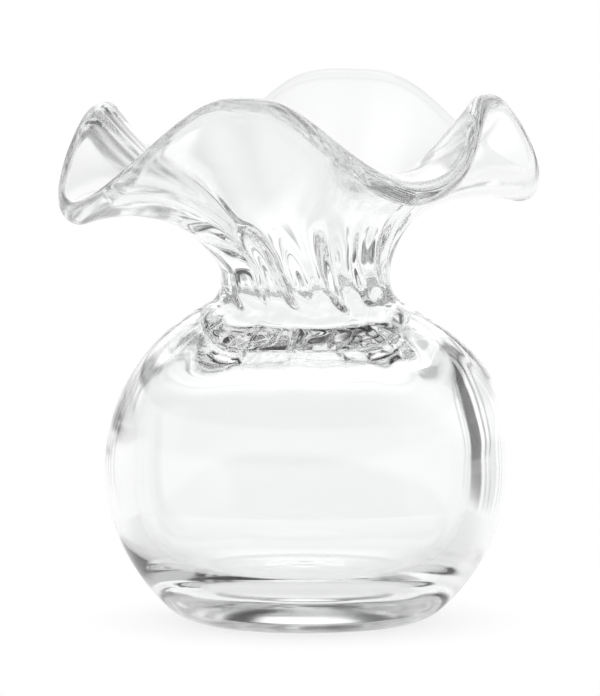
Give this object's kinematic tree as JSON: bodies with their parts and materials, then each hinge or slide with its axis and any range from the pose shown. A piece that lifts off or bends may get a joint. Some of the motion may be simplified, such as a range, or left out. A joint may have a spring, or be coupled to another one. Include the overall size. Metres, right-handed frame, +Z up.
{
  "type": "bud vase",
  "caption": "Small clear glass bud vase: round thick-walled bowl on a heavy flat base, short folded neck, flared mouth with a ruffled rounded lip.",
  "frame": {"origin": "middle of the flat foot, on the surface that the vase stands on, under the middle of the bowl", "axes": "+Z up through the neck, -Y towards the viewer of the picture, +X to the viewer's right"},
  "size_m": [0.096, 0.097, 0.1089],
  "materials": {
    "clear_glass": "clear, fire-polished, slightly wavy"
  },
  "bodies": {
    "root": {"heavy_base": "clear_glass", "bowl": "clear_glass", "neck": "clear_glass", "ruffled_rim": "clear_glass"}
  },
  "joints": []
}
